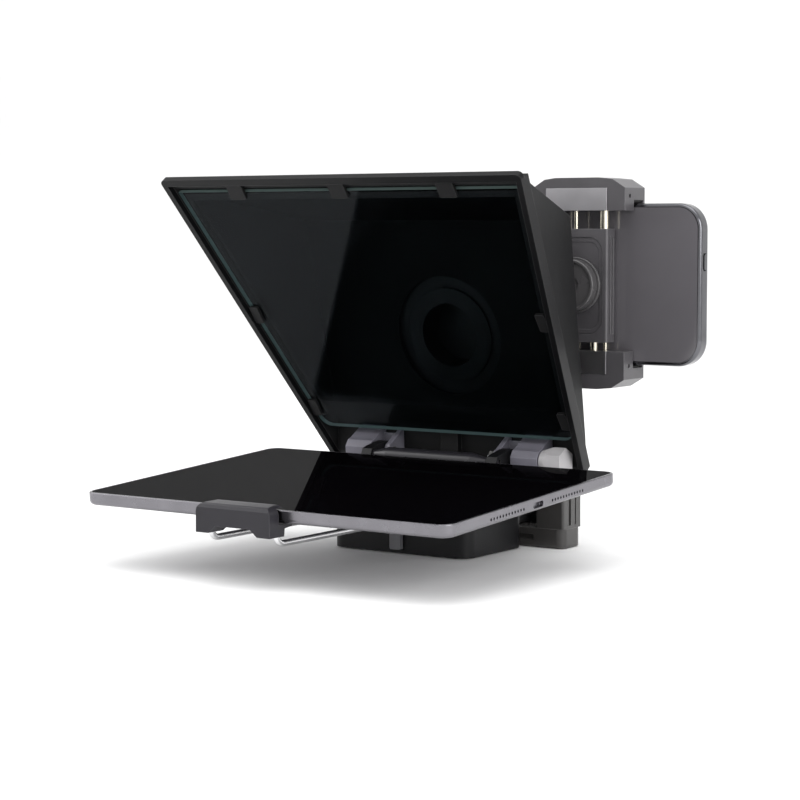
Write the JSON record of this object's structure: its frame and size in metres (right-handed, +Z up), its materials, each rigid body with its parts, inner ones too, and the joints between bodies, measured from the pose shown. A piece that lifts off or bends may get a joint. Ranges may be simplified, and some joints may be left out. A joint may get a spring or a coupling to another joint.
{
  "type": "teleprompter",
  "caption": "Camera teleprompter: tapered hood with angled beam-splitter glass over a flat tablet, folding on a small base with a rear phone clamp on a sliding riser.",
  "frame": {"origin": "centre of the tripod socket's mouth on the underside of the base", "axes": "+Z up, -Y towards the presenter, X across, +X on the side of the phone clamp"},
  "size_m": [0.2272, 0.2095, 0.1821],
  "materials": {
    "black_plastic": "matte",
    "grey_plastic": "satin",
    "rubber": "matte",
    "brass": "satin",
    "steel": "satin",
    "chrome": "polished",
    "black_metal": "anodised",
    "splitter_glass": "polished, half-mirror coated",
    "silver_metal": "satin",
    "dark_glass": "polished",
    "battery": "satin"
  },
  "bodies": {
    "base": {"base_housing": "black_plastic", "base_pad": "rubber", "tripod_socket": "brass", "base_lid": "black_plastic", "lid_screws": "steel", "rest_pads": "rubber", "hinge_tower_left": "black_plastic", "hinge_tower_right": "black_plastic", "stop_bar": "black_plastic", "slide_rail": "black_plastic"},
    "slide_knob": {"slide_lock_knob": "black_plastic"},
    "carriage": {"slide_bar": "black_metal", "riser_sleeve": "black_metal"},
    "riser_knob": {"riser_lock_knob": "black_plastic"},
    "post": {"riser_post": "black_metal", "swivel_disc": "black_metal"},
    "clamp": {"clamp_body": "black_plastic", "clamp_face": "grey_plastic", "clamp_back_pad": "rubber"},
    "upper_jaw": {"jaw_upper": "black_plastic", "jaw_plate_upper": "black_metal", "jaw_pad_upper": "rubber", "guide_rods_upper": "steel"},
    "lower_jaw": {"jaw_lower": "black_plastic", "jaw_plate_lower": "black_metal", "jaw_pad_lower": "rubber", "guide_rods_lower": "steel"},
    "phone": {"phone_frame": "silver_metal", "phone_back_glass": "dark_glass", "phone_screen_glass": "dark_glass", "phone_camera_bump": "dark_glass", "phone_lenses": "dark_glass"},
    "phone_side": {"phone_side_button": "silver_metal"},
    "phone_keys": {"phone_volume_keys": "silver_metal"},
    "bracket": {"wire_bracket": "chrome", "tablet_hook": "grey_plastic"},
    "release": {"release_tab": "black_plastic"},
    "tablet": {"tablet_shell": "silver_metal", "tablet_glass": "dark_glass", "tablet_battery": "battery"},
    "tablet_power": {"tablet_power_button": "silver_metal"},
    "tablet_rocker": {"tablet_volume_rocker": "silver_metal"},
    "hood": {"hood_right_wall": "black_plastic", "hood_left_wall": "black_plastic", "hood_top_wall": "black_plastic", "hood_rear_wall": "black_plastic", "hood_bezel": "black_plastic", "beam_splitter_glass": "splitter_glass", "glass_gasket": "rubber", "glass_clips": "black_plastic", "lens_ring": "black_plastic", "lens_insert": "grey_plastic", "lens_ring_screws": "steel", "hinge_arm_left": "grey_plastic", "hinge_arm_right": "grey_plastic", "hinge_screws": "steel", "hinge_pin": "steel", "tilt_nut": "steel"},
    "tilt_knob": {"tilt_bolt": "steel", "tilt_lock_knob": "grey_plastic"}
  },
  "joints": [
    {"name": "hood_tilt", "type": "hinge", "parent": "base", "child": "hood", "pos_m": [0, 0.01, 0.045], "axis": [1, 0, 0], "range_deg": [-3, 45]},
    {"name": "tilt_knob_turn", "type": "hinge", "parent": "hood", "child": "tilt_knob", "pos_m": [0.063, 0.01, 0.045], "axis": [1, 0, 0], "continuous": true},
    {"name": "bracket_pull", "type": "slide", "parent": "base", "child": "bracket", "axis": [0, -1, 0], "range_m": [0, 0.03], "stiffness_N_per_m": 80},
    {"name": "release_press", "type": "slide", "parent": "base", "child": "release", "axis": [0, 1, 0], "range_m": [0, 0.0015], "stiffness_N_per_m": 300},
    {"name": "tablet_slide", "type": "slide", "parent": "base", "child": "tablet", "axis": [1, 0, 0], "range_m": [0, 0.25]},
    {"name": "tablet_power_press", "type": "slide", "parent": "tablet", "child": "tablet_power", "axis": [1, 0, 0], "range_m": [0, 0.0003], "stiffness_N_per_m": 800},
    {"name": "tablet_rocker_press", "type": "slide", "parent": "tablet", "child": "tablet_rocker", "axis": [1, 0, 0], "range_m": [0, 0.0003], "stiffness_N_per_m": 800},
    {"name": "carriage_slide", "type": "slide", "parent": "base", "child": "carriage", "axis": [1, 0, 0], "range_m": [-0.013, 0.015]},
    {"name": "slide_knob_turn", "type": "hinge", "parent": "base", "child": "slide_knob", "pos_m": [-0.002, 0.03325, 0.018], "axis": [0, 0, 1], "continuous": true},
    {"name": "riser_slide", "type": "slide", "parent": "carriage", "child": "post", "axis": [0, 0, 1], "range_m": [-0.006, 0.02]},
    {"name": "riser_knob_turn", "type": "hinge", "parent": "carriage", "child": "riser_knob", "pos_m": [0.052, 0.046, 0.034], "axis": [0, 1, 0], "continuous": true},
    {"name": "clamp_swivel", "type": "hinge", "parent": "post", "child": "clamp", "pos_m": [0.062, 0.0335, 0.1295], "axis": [0, 1, 0], "range_deg": [0, 90]},
    {"name": "upper_jaw_slide", "type": "slide", "parent": "clamp", "child": "upper_jaw", "axis": [0, 0, 1], "range_m": [0, 0.012], "stiffness_N_per_m": 150, "springref_m": -0.02},
    {"name": "lower_jaw_slide", "type": "slide", "parent": "clamp", "child": "lower_jaw", "axis": [0, 0, 1], "range_m": [-0.012, 0]},
    {"name": "phone_slide", "type": "slide", "parent": "clamp", "child": "phone", "axis": [-1, 0, 0], "range_m": [0, 0.17]},
    {"name": "phone_side_press", "type": "slide", "parent": "phone", "child": "phone_side", "axis": [-1, 0, 0], "range_m": [0, 0.0003], "stiffness_N_per_m": 800},
    {"name": "phone_keys_press", "type": "slide", "parent": "phone", "child": "phone_keys", "axis": [0, 0, -1], "range_m": [0, 0.0003], "stiffness_N_per_m": 800}
  ],
  "couplings": [
    {"joint": "lower_jaw_slide", "follows": "upper_jaw_slide", "ratio": -1}
  ]
}
